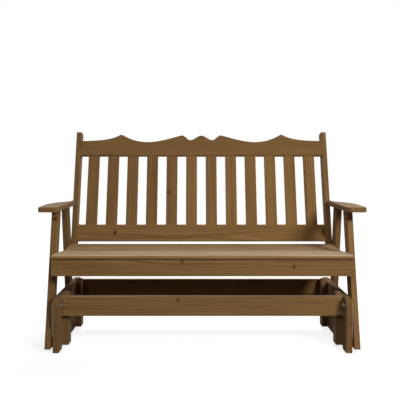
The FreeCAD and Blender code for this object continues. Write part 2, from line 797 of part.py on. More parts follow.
def sweep(start, end, startHandle, endHandle):
    """an ogee that leaves start and reaches end level, each handle a share of the run between them"""
    run = end.x - start.x
    poles = [start, start + FreeCAD.Vector(run * startHandle, 0, 0),
             end - FreeCAD.Vector(run * endHandle, 0, 0), end]
    curve = Part.BezierCurve()
    curve.setPoles(poles)
    return curve.toShape()


def crestRail():
    """the scalloped top rail, cut from one board"""
    knots = [
        ("postFace", "crestEnd"), ("outerPeakPlace", "crestOuterPeak"), ("lowPlace", "crestLow"),
        ("sidePeakPlace", "crestSidePeak"), ("valleyPlace", "crestValley"), ("0", "crestMiddle"),
    ]
    bottom = number("crestBottomAlong")
    spots = [FreeCAD.Vector(number(place), 0, bottom + number(height)) for place, height in knots]
    edges = []
    for start, end, (first, second) in zip(spots, spots[1:], crestHandles):
        edges.append(sweep(start, end, first, second))
    flip = FreeCAD.Matrix()
    flip.scale(-1, 1, 1)
    edges += [edge.transformGeometry(flip) for edge in reversed(edges)]
    right = FreeCAD.Vector(spots[0].x, 0, bottom)
    left = FreeCAD.Vector(-spots[0].x, 0, bottom)
    edges.append(Part.makeLine(FreeCAD.Vector(left.x, 0, spots[0].z), left))
    edges.append(Part.makeLine(left, right))
    edges.append(Part.makeLine(right, spots[0]))
    face = Part.Face(Part.Wire(Part.__sortEdges__(edges)))
    rail = doc.addObject("Part::Feature", "crest_rail")
    rail.Shape = face.extrude(FreeCAD.Vector(0, number("boardThick"), 0))
    turn = FreeCAD.Rotation(FreeCAD.Vector(1, 0, 0), -number("backLean"))
    rail.Placement = FreeCAD.Placement(
        FreeCAD.Vector(0, number("backDepth - originDepth"), number("backHeight")), turn)
    return rail


# Arms: flat boards with a flared outer edge and a tongue beside the post

def bow(centre, start, end):
    """an arc about a centre, from start to end the short way"""
    radius = (start - centre).Length
    middle = centre + ((start + end) / 2 - centre).normalize() * radius
    return Part.Arc(start, middle, end).toShape()


def arm():
    level = number("legTop")

    def spot(along, back):
        return FreeCAD.Vector(number(along), number(f"{back} - originDepth"), level)

    frontOuter = spot("armFrontHalf", "armFront")
    widest = spot("armWidest", "armWidestDepth")
    tongue = spot("tongueOuter", "tongueFront")
    outwards = FreeCAD.Vector(1, 0, 0)
    swell = number("armSwell")
    run = widest.y - frontOuter.y
    frontCentre = widest - outwards * ((run ** 2 + swell ** 2) / (2 * swell))
    drop = widest.x - tongue.x
    reach = ((tongue.y - widest.y) ** 2 + drop ** 2) / (2 * drop)
    bend = number("armBend")
    waist = widest + (tongue - widest) * bend
    path = [tongue, spot("tongueOuter", "tongueRear"), spot("seatHalf + sideClear", "tongueRear"),
            spot("seatHalf + sideClear", "tongueFront"), spot("armInner", "tongueFront"),
            spot("armInner", "armFront"), frontOuter]
    edges = [bow(frontCentre, frontOuter, widest),
             bow(widest - outwards * (reach * bend), widest, waist),
             bow(tongue + outwards * (reach * (1 - bend)), waist, tongue)]
    edges += [Part.makeLine(start, end) for start, end in zip(path, path[1:])]
    board = Part.Face(Part.Wire(edges)).extrude(FreeCAD.Vector(0, 0, number("armThick")))
    corners = [edge for edge in board.Edges
               if alongAxis(edge, "Z") and abs(edge.CenterOfMass.y - frontOuter.y) < hair]
    board = board.makeFillet(number("armCorner"), corners)
    top = level + number("armThick")
    rims = [edge for edge in board.Edges
            if edge.BoundBox.ZLength < hair and abs(edge.BoundBox.ZMax - top) < hair]
    board = board.makeChamfer(number("armEase"), rims)
    deep = number("armTongue - armScrewTip - sideClear")
    start = spot("seatHalf + sideClear", "armScrewBack") + FreeCAD.Vector(0, 0, number("armThick / 2"))
    hole = Part.makeCylinder(number("screwRadius"), deep, start, outwards)
    piece = doc.addObject("Part::Feature", "right_arm")
    piece.Shape = board.cut(hole)
    return piece


bothSides(post(), "post")
keep("lower_back_rail", lowerRail())
keep("crest_rail", crestRail())
for index in range(backSlatCount):
    keep(f"back_slat_{index + 1:02d}", backSlat(index))
bothSides(arm(), "arm")


# Seat fasteners: apron screws, leg and post bolts, arm screws

def legBolt(name, back):
    """a round-headed bolt from the leg's outer face, its nut on the support's inner face"""
    end = "supportFace - washerThick - legBoltNutThick - boltEnd"
    steps = [("legOuter", "legBoltHeadThick", "legBoltHeadRadius", boltSides),
             (end, f"legOuter - ({end})", "legBoltRadius", boltSides)]
    where = (back, "legBoltHeight")
    fit = ("legBoltNutAcross", "legBoltRadius", "legBoltNutThick", "supportFace")
    return [stepped(f"{name}_bolt", "YZ_Plane", steps, None, "0", *where),
            nut(f"{name}_nut", *fit, -1, *where)]


def armScrew():
    """a screw from the post's inner face into the arm's tongue"""
    tip = "seatHalf + armTongue - armScrewTip"
    steps = [("postFace - screwHeadThick", "screwHeadThick", "screwHeadRadius", screwSides),
             ("postFace", f"{tip} - postFace", "screwRadius - holeClear / 2", screwSides)]
    return stepped("arm_screw", "YZ_Plane", steps, None, "0", "armScrewBack", "armScrewHeight")


rightFasteners = legBolt("front_leg", "frontBoltDepth") + legBolt("post", "postBoltDepth") + [armScrew()]
for name, along in (("outer", "supportFace + boardThick / 2"), ("inner", "innerSupportPlace")):
    rightFasteners.append(woodScrew(f"{name}_apron_screw", along, "apronFront",
                                    "apronTop - apronScrewDrop", "apronThick + screwGrip"))
group("seat_fasteners", rightFasteners + [mirrored(piece, "X") for piece in rightFasteners])


# Every piece is checked before any file is written

doc.recompute()
for item in doc.Objects:
    if {"Invalid", "Error"} & set(item.State):
        raise ValueError(f"{item.Label} did not recompute: {item.State}")
for label, piece in nodes.items():
    if piece.Shape.isNull() or not piece.Shape.isValid():
        raise ValueError(f"{label} has no valid shape")

os.makedirs("parts", exist_ok=True)
whole = FreeCAD.BoundBox()
for label, piece in nodes.items():
    piece.Shape.exportStep(f"parts/{label}.step")
    whole.add(piece.Shape.BoundBox)
print(f"{len(nodes)} sub-parts, x {whole.XMin:.2f} to {whole.XMax:.2f}, "
      f"y {whole.YMin:.2f} to {whole.YMax:.2f}, z {whole.ZMin:.2f} to {whole.ZMax:.2f}")
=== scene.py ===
import bmesh
import bpy
import math
import random
from mathutils import Matrix, Vector


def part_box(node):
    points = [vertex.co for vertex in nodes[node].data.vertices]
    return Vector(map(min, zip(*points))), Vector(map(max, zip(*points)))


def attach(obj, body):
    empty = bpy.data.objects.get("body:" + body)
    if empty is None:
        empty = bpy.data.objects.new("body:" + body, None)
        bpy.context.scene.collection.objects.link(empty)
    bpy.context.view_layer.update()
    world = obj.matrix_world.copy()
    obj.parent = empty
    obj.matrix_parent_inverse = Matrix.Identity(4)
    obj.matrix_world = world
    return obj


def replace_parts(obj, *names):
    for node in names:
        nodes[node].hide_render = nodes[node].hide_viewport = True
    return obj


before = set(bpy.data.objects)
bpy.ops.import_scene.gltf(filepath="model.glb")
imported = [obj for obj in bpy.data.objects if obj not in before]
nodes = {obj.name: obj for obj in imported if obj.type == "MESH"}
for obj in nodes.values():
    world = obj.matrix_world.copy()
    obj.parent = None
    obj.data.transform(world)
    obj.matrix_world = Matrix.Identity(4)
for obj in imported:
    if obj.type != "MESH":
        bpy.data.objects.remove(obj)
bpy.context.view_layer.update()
print("glider bench: frame loaded,", len(nodes), "pieces of the source")


# Camera

cameraView = {
    "place": (-0.032, -3.2706, 0.958),
    "lens": 53.1,
    "sensor": 36.0,
    "shift": (0.01, -0.10),  # the photograph's middle lies off the level line of sight
}


def addCamera():
    data = bpy.data.cameras.new("photoCamera")
    data.sensor_width = cameraView["sensor"]
    data.lens = cameraView["lens"]
    data.shift_x, data.shift_y = cameraView["shift"]
    camera = bpy.data.objects.new("photoCamera", data)
    camera.location = cameraView["place"]
    camera.rotation_euler = (math.radians(90), 0, 0)  # level, looking along +Y
    bpy.context.scene.collection.objects.link(camera)
    bpy.context.scene.camera = camera


addCamera()
print("camera set")


# Node helpers

def addNode(tree, kind, inputs=None, **settings):
    node = tree.nodes.new("ShaderNode" + kind)
    for name, value in settings.items():
        setattr(node, name, value)
    for socket, value in (inputs or {}).items():
        if isinstance(value, bpy.types.NodeSocket):
            tree.links.new(value, node.inputs[socket])
        else:
            node.inputs[socket].default_value = value
    return node


def calc(tree, operation, *values):
    node = addNode(tree, "Math", dict(enumerate(values)), operation=operation)
    return node.outputs[0]


def remap(tree, value, fromLow, fromHigh, toLow, toHigh, smooth=False):
    node = addNode(tree, "MapRange", {
        "Value": value, "From Min": fromLow, "From Max": fromHigh, "To Min": toLow, "To Max": toHigh,
    }, interpolation_type="SMOOTHSTEP" if smooth else "LINEAR")
    return node.outputs["Result"]


def blendColor(tree, share, first, second, way="MIX"):
    node = addNode(tree, "Mix", {"Factor": share}, data_type="RGBA", blend_type=way)
    for socket, value in ((6, first), (7, second)):
        if isinstance(value, bpy.types.NodeSocket):
            tree.links.new(value, node.inputs[socket])
        else:
            node.inputs[socket].default_value = value
    return node.outputs[2]


def stretched(tree, vector, scale):
    return addNode(tree, "VectorMath", {0: vector, 1: scale}, operation="MULTIPLY").outputs[0]


def noise(tree, vector, scale, detail=2.0, roughness=0.5):
    return addNode(tree, "TexNoise", {
        "Vector": vector, "Scale": scale, "Detail": detail, "Roughness": roughness,
    }).outputs["Fac"]


def swing(tree, value, width):
    # a noise of 0 to 1 as an offset about nothing
    return calc(tree, "MULTIPLY", calc(tree, "SUBTRACT", value, 0.5), width)


def newMaterial(name):
    material = bpy.data.materials.new(name)
    material.use_nodes = True
    tree = material.node_tree
    return material, tree, tree.nodes["Principled BSDF"]


def dress(name, material):
    nodes[name].data.materials.clear()
    nodes[name].data.materials.append(material)


def linear(red, green, blue):
    values = [value / 255 for value in (red, green, blue)]
    return tuple(v / 12.92 if v <= 0.04045 else ((v + 0.055) / 1.055) ** 2.4 for v in values) + (1.0,)


# Stained pine: growth rings about a heart line under the board's face, fibres, knots, darker end grain

pine = {
    "spring": linear(133, 100, 61),     # soft wood between the rings, under the stain
    "summer": linear(96, 67, 36),       # hard line of a ring
    "ringWidth": 0.0050,
    "ringShare": 0.68,                  # how strongly the rings show
    "ringRise": (0.15, 0.86),           # part of the ring over which its line darkens
    "ringFall": 0.88,                   # where the line ends and the next ring's soft wood begins
    "weakRing": 0.45,                   # strength of the weakest ring
    "heartWander": 0.024,               # slow wander of the rings along the board
    "wanderScale": (1.1, 5.0, 5.0),
    "ripple": 0.0032,                   # small waves of the rings
    "rippleScale": (7.0, 60.0, 60.0),
    "fibreShare": 0.32,
    "fibreScale": (9.0, 620.0, 620.0),
    "streakShare": 0.704,               # streaks of the stain along the grain
    "streakScale": (2.2, 95.0, 95.0),
    "blotchShare": 0.24,
    "blotchScale": (3.0, 9.0, 9.0),
    "endGrain": 0.90,                   # cut ends drink more stain
    "endStart": (0.5, 0.95),
    "wornAndSheen": linear(182, 162, 132),      # bare, greyed wood where the stain has worn thin, which also paints the pale sheen of the light on the tops
    "wearAndSheenStreaks": (0.32, 0.68, 0.45, 1.5),  # from and to these values of a streak, less and more pale
    "wearAndSheenLift": (0.55, 0.95),           # only faces that face up turn pale, as wear and as painted sheen of the light from above
    "knot": linear(84, 40, 14),
    "knotShort": 1.35,                  # knots lie across the grain, cut lengthwise
    "knotLong": 0.62,
    "leastKnot": 0.00001,               # radius on a board that has none
    "knotEdge": (0.55, 1.15),           # in radii of the knot
    "knotShare": 0.90,
    "halo": linear(104, 60, 26),
    "haloEdge": (0.8, 2.6),
    "haloShare": 0.36,
    "haloPush": 1.5,                    # how far the rings bend round a knot
    "heartDrift": (-0.008, 0.008),      # the heart line's slant, place aside and depth differ by board
    "heartAside": (0.015, 0.09),
    "heartDepth": (0.03, 0.08),
    "toneSpread": (0.96, 1.04),
    "seed": 7,
    "roughness": (0.74, 0.58),          # soft wood, then the hard line
    "fibreRoughness": 0.08,
    "specular": 0.02,
    "bloom": 0.08,                      # dry surface that pales at a low angle
    "bloomRoughness": 0.50,
    "bloomTint": linear(255, 243, 220),
    "bump": 0.35,
    "bumpDepth": 0.0006,
    "ringHeight": 0.45,
    "fibreHeight": 0.55,
}


def addKnot(tree, along, across, place):
    spot = addNode(tree, "SeparateXYZ", {0: place})
    run = calc(tree, "MULTIPLY", calc(tree, "SUBTRACT", along, spot.outputs[0]), pine["knotShort"])
    side = calc(tree, "MULTIPLY", calc(tree, "SUBTRACT", across, spot.outputs[1]), pine["knotLong"])
    gap = calc(tree, "SQRT", calc(tree, "ADD", calc(tree, "MULTIPLY", run, run),
                                  calc(tree, "MULTIPLY", side, side)))
    radii = calc(tree, "DIVIDE", gap, calc(tree, "MAXIMUM", spot.outputs[2], pine["leastKnot"]))
    core = remap(tree, radii, *pine["knotEdge"], 1.0, 0.0, smooth=True)
    halo = remap(tree, radii, *pine["haloEdge"], 1.0, 0.0, smooth=True)
    push = calc(tree, "MULTIPLY", halo, calc(tree, "MULTIPLY", spot.outputs[2], pine["haloPush"]))
    return core, halo, push


def pineGroup():
    tree = bpy.data.node_groups.new("pineGrain", "ShaderNodeTree")
    for name, kind in (("Board", "Vector"), ("Heart", "Vector"), ("Knot", "Vector"),
                       ("Second Knot", "Vector"), ("Tone And Light", "Float"), ("Wear And Sheen", "Float"), ("End", "Float")):
        tree.interface.new_socket(name, in_out="INPUT", socket_type="NodeSocket" + kind)
    for name, kind in (("Color", "Color"), ("Roughness", "Float"), ("Height", "Float")):
        tree.interface.new_socket(name, in_out="OUTPUT", socket_type="NodeSocket" + kind)
    given = tree.nodes.new("NodeGroupInput").outputs
    board = addNode(tree, "SeparateXYZ", {0: given["Board"]}).outputs
    heart = addNode(tree, "SeparateXYZ", {0: given["Heart"]}).outputs
    first = addKnot(tree, board[0], board[1], given["Knot"])
    second = addKnot(tree, board[0], board[1], given["Second Knot"])
    core = calc(tree, "MAXIMUM", first[0], second[0])
    halo = calc(tree, "MAXIMUM", first[1], second[1])
    push = calc(tree, "ADD", first[2], second[2])

    # the heart line wanders slowly along the board, so the rings open into arches
    seed = addNode(tree, "VectorMath", {0: given["Board"], 1: given["Heart"]}, operation="ADD").outputs[0]
    slow = noise(tree, stretched(tree, seed, pine["wanderScale"]), 1.0, 1.0)
    fine = noise(tree, stretched(tree, seed, pine["rippleScale"]), 1.0, 2.0)
    wander = swing(tree, slow, pine["heartWander"])
    ripple = swing(tree, fine, pine["ripple"])
    side = calc(tree, "SUBTRACT", calc(tree, "ADD", board[1], wander), heart[1])
    deep = calc(tree, "SUBTRACT", calc(tree, "ADD", board[2], wander), heart[2])
    away = calc(tree, "SQRT", calc(tree, "ADD", calc(tree, "MULTIPLY", side, side),
                                   calc(tree, "MULTIPLY", deep, deep)))
    away = calc(tree, "ADD", away, calc(tree, "MULTIPLY", board[0], heart[0]))
    away = calc(tree, "ADD", calc(tree, "ADD", away, push), ripple)
    phase = calc(tree, "DIVIDE", away, pine["ringWidth"])
    turn = calc(tree, "FRACT", phase)
    year = calc(tree, "FLOOR", phase)
    rise = remap(tree, turn, *pine["ringRise"], 0.0, 1.0, smooth=True)
    fall = remap(tree, turn, pine["ringFall"], 1.0, 1.0, 0.0)
    ring = calc(tree, "MULTIPLY", rise, fall)
    luck = addNode(tree, "TexWhiteNoise", {"W": year}, noise_dimensions="1D").outputs["Value"]
    ring = calc(tree, "MULTIPLY", ring, remap(tree, luck, 0.0, 1.0, pine["weakRing"], 1.0))

    # fine fibres and slow blotches of the stain
    fibre = noise(tree, stretched(tree, seed, pine["fibreScale"]), 1.0, 2.0, 0.6)
    streak = noise(tree, stretched(tree, seed, pine["streakScale"]), 1.0, 2.0, 0.6)
    blotch = noise(tree, stretched(tree, seed, pine["blotchScale"]), 1.0, 2.0)
    hard = calc(tree, "MULTIPLY", ring, pine["ringShare"])
    color = blendColor(tree, hard, pine["spring"], pine["summer"])
    # pale tops: the stain worn thin, and a painted sheen of the light on faces that face up
    wornAndSheenShare = calc(tree, "MULTIPLY", given["Wear And Sheen"], remap(tree, streak, *pine["wearAndSheenStreaks"]))
    color = blendColor(tree, wornAndSheenShare, color, pine["wornAndSheen"])
    shade = calc(tree, "ADD", swing(tree, fibre, pine["fibreShare"]),
                 swing(tree, streak, pine["streakShare"]))
    shade = calc(tree, "ADD", shade, swing(tree, blotch, pine["blotchShare"]))
    # the board's tone, which holds painted light and shade as well as its own tone
    shade = calc(tree, "MULTIPLY", calc(tree, "ADD", shade, 1.0), given["Tone And Light"])
    soaked = remap(tree, given["End"], *pine["endStart"], 1.0, pine["endGrain"])
    shade = calc(tree, "MULTIPLY", shade, soaked)
    gray = addNode(tree, "CombineXYZ", {0: shade, 1: shade, 2: shade}).outputs[0]
    color = blendColor(tree, 1.0, color, gray, "MULTIPLY")
    color = blendColor(tree, calc(tree, "MULTIPLY", halo, pine["haloShare"]), color, pine["halo"])
    color = blendColor(tree, calc(tree, "MULTIPLY", core, pine["knotShare"]), color, pine["knot"])
    rough = calc(tree, "ADD", remap(tree, ring, 0.0, 1.0, *pine["roughness"]),
                 swing(tree, fibre, pine["fibreRoughness"]))
    height = calc(tree, "ADD", calc(tree, "MULTIPLY", ring, pine["ringHeight"]),
                  calc(tree, "MULTIPLY", fibre, pine["fibreHeight"]))
    out = tree.nodes.new("NodeGroupOutput")
    for name, value in (("Color", color), ("Roughness", rough), ("Height", height)):
        tree.links.new(value, out.inputs[name])
    return tree


def pineMaterial(name, grain, centre, along, face, heart, toneAndLight, wearAndSheen, knots):
    material, tree, shader = newMaterial(name)
    along = Vector(along).normalized()
    side = Vector(face).cross(along).normalized()
    turn = Matrix((along, side, along.cross(side))).transposed()
    spot = addNode(tree, "TexCoord")
    board = addNode(tree, "Mapping", {
        "Vector": spot.outputs["Object"], "Location": centre, "Rotation": turn.to_euler(),
    }, vector_type="TEXTURE").outputs[0]
    end = addNode(tree, "VectorMath", {0: spot.outputs["Normal"], 1: tuple(along)}, operation="DOT_PRODUCT")
    knots = list(knots) + [(0.0, 0.0, 0.0)] * (2 - len(knots))
    wood = addNode(tree, "Group", node_tree=grain)
    for socket, value in (("Heart", heart), ("Knot", knots[0]), ("Second Knot", knots[1]), ("Tone And Light", toneAndLight)):
        wood.inputs[socket].default_value = value
    tree.links.new(board, wood.inputs["Board"])
    # faces that face up take the pale colour: worn stain, and painted sheen of the light on top
    if wearAndSheen:
        lift = addNode(tree, "SeparateXYZ", {0: spot.outputs["Normal"]}).outputs[2]
        tree.links.new(remap(tree, lift, *pine["wearAndSheenLift"], 0.0, wearAndSheen), wood.inputs["Wear And Sheen"])
    tree.links.new(calc(tree, "ABSOLUTE", end.outputs["Value"]), wood.inputs["End"])
    bump = addNode(tree, "Bump", {
        "Strength": pine["bump"], "Distance": pine["bumpDepth"], "Height": wood.outputs["Height"],
    })
    tree.links.new(wood.outputs["Color"], shader.inputs["Base Color"])
    tree.links.new(wood.outputs["Roughness"], shader.inputs["Roughness"])
    tree.links.new(bump.outputs[0], shader.inputs["Normal"])
    shader.inputs["Specular IOR Level"].default_value = pine["specular"]
    shader.inputs["Sheen Weight"].default_value = pine["bloom"]
    shader.inputs["Sheen Roughness"].default_value = pine["bloomRoughness"]
    shader.inputs["Sheen Tint"].default_value = pine["bloomTint"]
    return material


lean = math.radians(14.7)                           # of the back
legRise, frontRun, rearRun = 674, 154, 126          # millimetres that a leg's middle line climbs and leans
frontSplay, rearSplay = math.atan(frontRun / legRise), math.atan(rearRun / legRise)
alongX, alongY, alongZ = (1, 0, 0), (0, 1, 0), (0, 0, 1)
frontFace, upFace, sideFace = (0, -1, 0), (0, 0, 1), (1, 0, 0)
backAlong = (0, math.sin(lean), math.cos(lean))
backFace = (0, -math.cos(lean), math.sin(lean))
frontLegAlong = (0, math.sin(frontSplay), math.cos(frontSplay))
rearLegAlong = (0, -math.sin(rearSplay), math.cos(rearSplay))

# every board: the way its grain runs, and the broad face that shows its rings
boards = {
    "left_upper_side": (alongY, sideFace), "right_upper_side": (alongY, sideFace),
    "left_lower_side": (alongY, sideFace), "right_lower_side": (alongY, sideFace),
    "left_front_cleat": (alongZ, sideFace), "right_front_cleat": (alongZ, sideFace),
    "left_rear_cleat": (alongZ, sideFace), "right_rear_cleat": (alongZ, sideFace),
    "front_stretcher": (alongX, frontFace), "rear_stretcher": (alongX, frontFace),
    "front_left_leg": (frontLegAlong, sideFace), "front_right_leg": (frontLegAlong, sideFace),
    "rear_left_leg": (rearLegAlong, sideFace), "rear_right_leg": (rearLegAlong, sideFace),
    "leg_braces": (alongY, sideFace),
    "seat_apron": (alongX, frontFace), "seat_rear_rail": (alongX, frontFace),
    "left_side_rail": (alongY, sideFace), "right_side_rail": (alongY, sideFace),
    "left_outer_support": (alongY, sideFace), "right_outer_support": (alongY, sideFace),
    "left_inner_support": (alongY, sideFace), "right_inner_support": (alongY, sideFace),
    "left_arm": (alongY, upFace), "right_arm": (alongY, upFace),
    "left_post": (backAlong, backFace), "right_post": (backAlong, backFace),
    "lower_back_rail": (alongX, backFace), "crest_rail": (alongX, backFace),
}
boards.update({f"seat_slat_{index}": (alongX, upFace) for index in range(1, 8)})
boards.update({f"back_slat_{index:02d}": (backAlong, backFace) for index in range(1, 13)})

# tones that differ from board to board in the photograph, partly the boards' own and partly painted light:
# the right-hand back slats and the front right leg are lighter where the light falls stronger from the
# right, the upper sides and the rear left leg are darker with painted shade, and the rear stretcher is
# lighter to lift the shade under the seat
tonesAndLight = {
    "crest_rail": 0.98, "front_left_leg": 1.04, "front_right_leg": 1.22, "rear_left_leg": 0.82,
    "seat_apron": 1.10, "front_stretcher": 1.08, "left_front_cleat": 0.90, "right_front_cleat": 1.0,
    "left_upper_side": 0.90, "right_upper_side": 0.96, "left_lower_side": 0.96, "right_lower_side": 1.04,
    "rear_stretcher": 1.30, "lower_back_rail": 1.08,
}
tonesAndLight.update({f"back_slat_{index:02d}": 0.96 if index < 6 else 1.14 for index in range(1, 13)})
tonesAndLight.update({f"seat_slat_{index}": 1.22 if index < 5 else 1.36 for index in range(1, 8)})

# how pale the faces that face up turn where people sit, rest their arms and set their heels: partly the
# stain worn thin, partly a painted sheen of the light on the tops of the seat, the arms and the front
# stretcher
wearAndSheenShares = {"left_arm": 0.34, "right_arm": 0.34, "front_stretcher": 0.40}
wearAndSheenShares.update({f"seat_slat_{index}": 0.64 if index < 5 else 0.16 for index in range(1, 8)})

# knots that the photograph shows: along and across the board from its middle, and the knot's radius
knotPlaces = {
    "seat_apron": [(-0.101, 0.0315, 0.006), (0.453, 0.007, 0.007)],
    "lower_back_rail": [(-0.502, 0.000, 0.0105), (0.705, 0.000, 0.0115)],
    "back_slat_04": [(0.0935, -0.0047, 0.004)],
    "back_slat_05": [(-0.0155, 0.0217, 0.009), (-0.1155, 0.0069, 0.004)],
    "back_slat_12": [(0.087, 0.0036, 0.004)],
    "front_stretcher": [(-0.123, 0.029, 0.006)],
    "front_left_leg": [(0.293, 0.036, 0.008)],
    "front_right_leg": [(0.293, 0.036, 0.008)],
}


def finishBoards():
    grain = pineGroup()
    luck = random.Random(pine["seed"])
    for name, (along, face) in boards.items():
        low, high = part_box(name)
        aside = luck.choice((-1, 1)) * luck.uniform(*pine["heartAside"])
        heart = (luck.uniform(*pine["heartDrift"]), aside, -luck.uniform(*pine["heartDepth"]))
        # the board's tone, with the painted light and shade of the table above, and a random spread
        toneAndLight = tonesAndLight.get(name, 1.0) * luck.uniform(*pine["toneSpread"])
        dress(name, pineMaterial(f"pine_{name}", grain, (low + high) / 2, along, face, heart, toneAndLight,
                                 wearAndSheenShares.get(name, 0.0), knotPlaces.get(name, ())))


finishBoards()
print("boards stained:", len(boards))


# Metal and nylon

metalSurface = {
    "spangleScale": 260.0,       # crystals of the zinc, which differ in roughness
    "spangleRoughness": 0.14,
    "sootScale": 70.0,
    "sootRange": (0.35, 0.75),
    "sootShare": 0.45,
    "sootDark": 0.55,
}

metals = {
    "galvanised": {"color": linear(150, 150, 150), "roughness": 0.42, "metallic": 1.0},
    "zinc": {"color": linear(158, 157, 150), "roughness": 0.34, "metallic": 1.0},
    "dullZinc": {"color": linear(122, 117, 106), "roughness": 0.46, "metallic": 1.0},
    "coated": {"color": linear(122, 98, 66), "roughness": 0.50, "metallic": 0.6},
}


def metalMaterial(name, facts):
    material, tree, shader = newMaterial(name)
    spot = addNode(tree, "TexCoord").outputs["Object"]
    place = addNode(tree, "Mapping", {"Vector": spot}).outputs[0]
    spangle = addNode(tree, "TexVoronoi", {"Vector": place, "Scale": metalSurface["spangleScale"]})
    cell = addNode(tree, "SeparateXYZ", {0: spangle.outputs["Color"]}).outputs[0]
    soot = noise(tree, place, metalSurface["sootScale"], 3.0)
    sooty = remap(tree, soot, *metalSurface["sootRange"], 0.0, metalSurface["sootShare"])
    dark = tuple(value * metalSurface["sootDark"] for value in facts["color"][:3]) + (1.0,)
    tree.links.new(blendColor(tree, sooty, facts["color"], dark), shader.inputs["Base Color"])
    rough = calc(tree, "ADD", facts["roughness"],
                 calc(tree, "MULTIPLY", cell, metalSurface["spangleRoughness"]))
    tree.links.new(rough, shader.inputs["Roughness"])
    shader.inputs["Metallic"].default_value = facts["metallic"]
    return material


nylonLook = {
    "light": linear(214, 212, 202),
    "dark": linear(188, 185, 172),
    "hazeScale": 90.0,
    "roughness": 0.45,
    "subsurface": 0.15,
    "subsurfaceRadius": (0.004, 0.004, 0.003),
}


def nylonMaterial():
    material, tree, shader = newMaterial("nylon")
    spot = addNode(tree, "TexCoord").outputs["Object"]
    place = addNode(tree, "Mapping", {"Vector": spot}).outputs[0]
    haze = noise(tree, place, nylonLook["hazeScale"], 2.0)
    color = blendColor(tree, haze, nylonLook["light"], nylonLook["dark"])
    tree.links.new(color, shader.inputs["Base Color"])
    shader.inputs["Roughness"].default_value = nylonLook["roughness"]
    shader.inputs["Subsurface Weight"].default_value = nylonLook["subsurface"]
    shader.inputs["Subsurface Radius"].default_value = nylonLook["subsurfaceRadius"]
    return material


galvanised = metalMaterial("galvanisedSteel", metals["galvanised"])
zinc = metalMaterial("zincFinish", metals["zinc"])
dullZinc = metalMaterial("dullZinc", metals["dullZinc"])
coated = metalMaterial("coatedScrew", metals["coated"])
nylon = nylonMaterial()
for corner in ("front_left", "front_right", "rear_left", "rear_right"):
    dress(f"{corner}_link", galvanised)
    dress(f"{corner}_bushings", nylon)
print("metal and nylon set")


# Fasteners: each stands where its plain solid is in the frame, and takes its length and width from it

fasteners = {
    "weld": 1e-6,
    "sharpDegrees": 34,
    "roundSteps": 24,
    "screwHead": 0.0015,
    "headEdge": 0.6,             # depths in shares of the head's height, widths in shares of its width
    "headRound": (0.15, 0.78),
    "screwShare": 0.55,          # shank of a screw, as a share of its head
    "screwPoint": 0.007,
    "screwPitch": 0.0024,
    "recessShare": 0.50,
    "recessDepth": 0.8,
    "starShare": 0.86,           # lobes of the recess, and the hollows between them
    "starHollow": 0.74,
    "hexHead": 0.0019,
    "shoulderRadius": 0.005,
    "shoulderLength": 0.00745,
    "domeHead": 0.0035,
    "domeSteps": 6,
    "boltRadius": 0.004,
    "boltPitch": 0.00125,
    "threadDepth": 0.0006,
    "threadSteps": 12,
    "flange": 0.002,
    "flangeEdge": 0.5,
    "flangeSlope": 0.93,
    "collar": (1.4, 0.8),        # in flanges of height, and as a share of the flange's width
    "hexShare": 0.885,           # hexagon of a nut, as a share of its flange
    "cornerCut": 0.0011,
}


def looseParts(name):
    mesh = bmesh.new()
    mesh.from_mesh(nodes[name].data)
    bmesh.ops.remove_doubles(mesh, verts=mesh.verts, dist=fasteners["weld"])
    waiting, parts = set(mesh.verts), []
    while waiting:
        front, part = [waiting.pop()], []
        while front:
            corner = front.pop()
            part.append(corner.co.copy())
            near = [edge.other_vert(corner) for edge in corner.link_edges]
            fresh = {vert for vert in near if vert in waiting}
            waiting -= fresh
            front.extend(fresh)
        low = Vector([min(spot[way] for spot in part) for way in range(3)])
        high = Vector([max(spot[way] for spot in part) for way in range(3)])
        parts.append((low, high))
    mesh.free()
    return sorted(parts, key=lambda part: tuple(round(value, 4) for value in part[0]))


def addTurned(mesh, profile):
    verts = [mesh.verts.new((radius, 0, height)) for height, radius in profile]
    edges = [mesh.edges.new(pair) for pair in zip(verts, verts[1:])]
    bmesh.ops.spin(mesh, geom=verts + edges, cent=(0, 0, 0), axis=(0, 0, 1), angle=2 * math.pi,
                   steps=fasteners["roundSteps"], use_merge=True)


def addThread(mesh, start, end, radius, pitch):
    depth, steps = fasteners["threadDepth"], fasteners["threadSteps"]
    turns = int((end - start) / pitch) - 1
    tooth = [(start, radius - depth), (start + pitch / 2, radius), (start + pitch, radius - depth)]
    verts = [mesh.verts.new((across, 0, height)) for height, across in tooth]
    edges = [mesh.edges.new(pair) for pair in zip(verts, verts[1:])]
    bmesh.ops.spin(mesh, geom=verts + edges, cent=(0, 0, 0), axis=(0, 0, 1), dvec=(0, 0, pitch / steps),
                   angle=2 * math.pi * turns, steps=steps * turns)


def addHexagon(mesh, bottom, radius, thick):
    made = bmesh.ops.create_cone(mesh, cap_ends=True, segments=6, radius1=radius, radius2=radius,
                                 depth=thick, matrix=Matrix.Translation((0, 0, bottom + thick / 2)))
    outer = [vert for vert in made["verts"] if vert.co.z > bottom + thick / 2]
    bmesh.ops.bevel(mesh, geom=outer, offset=fasteners["cornerCut"], affect="VERTICES", segments=1,
                    profile=0.5, material=-1)


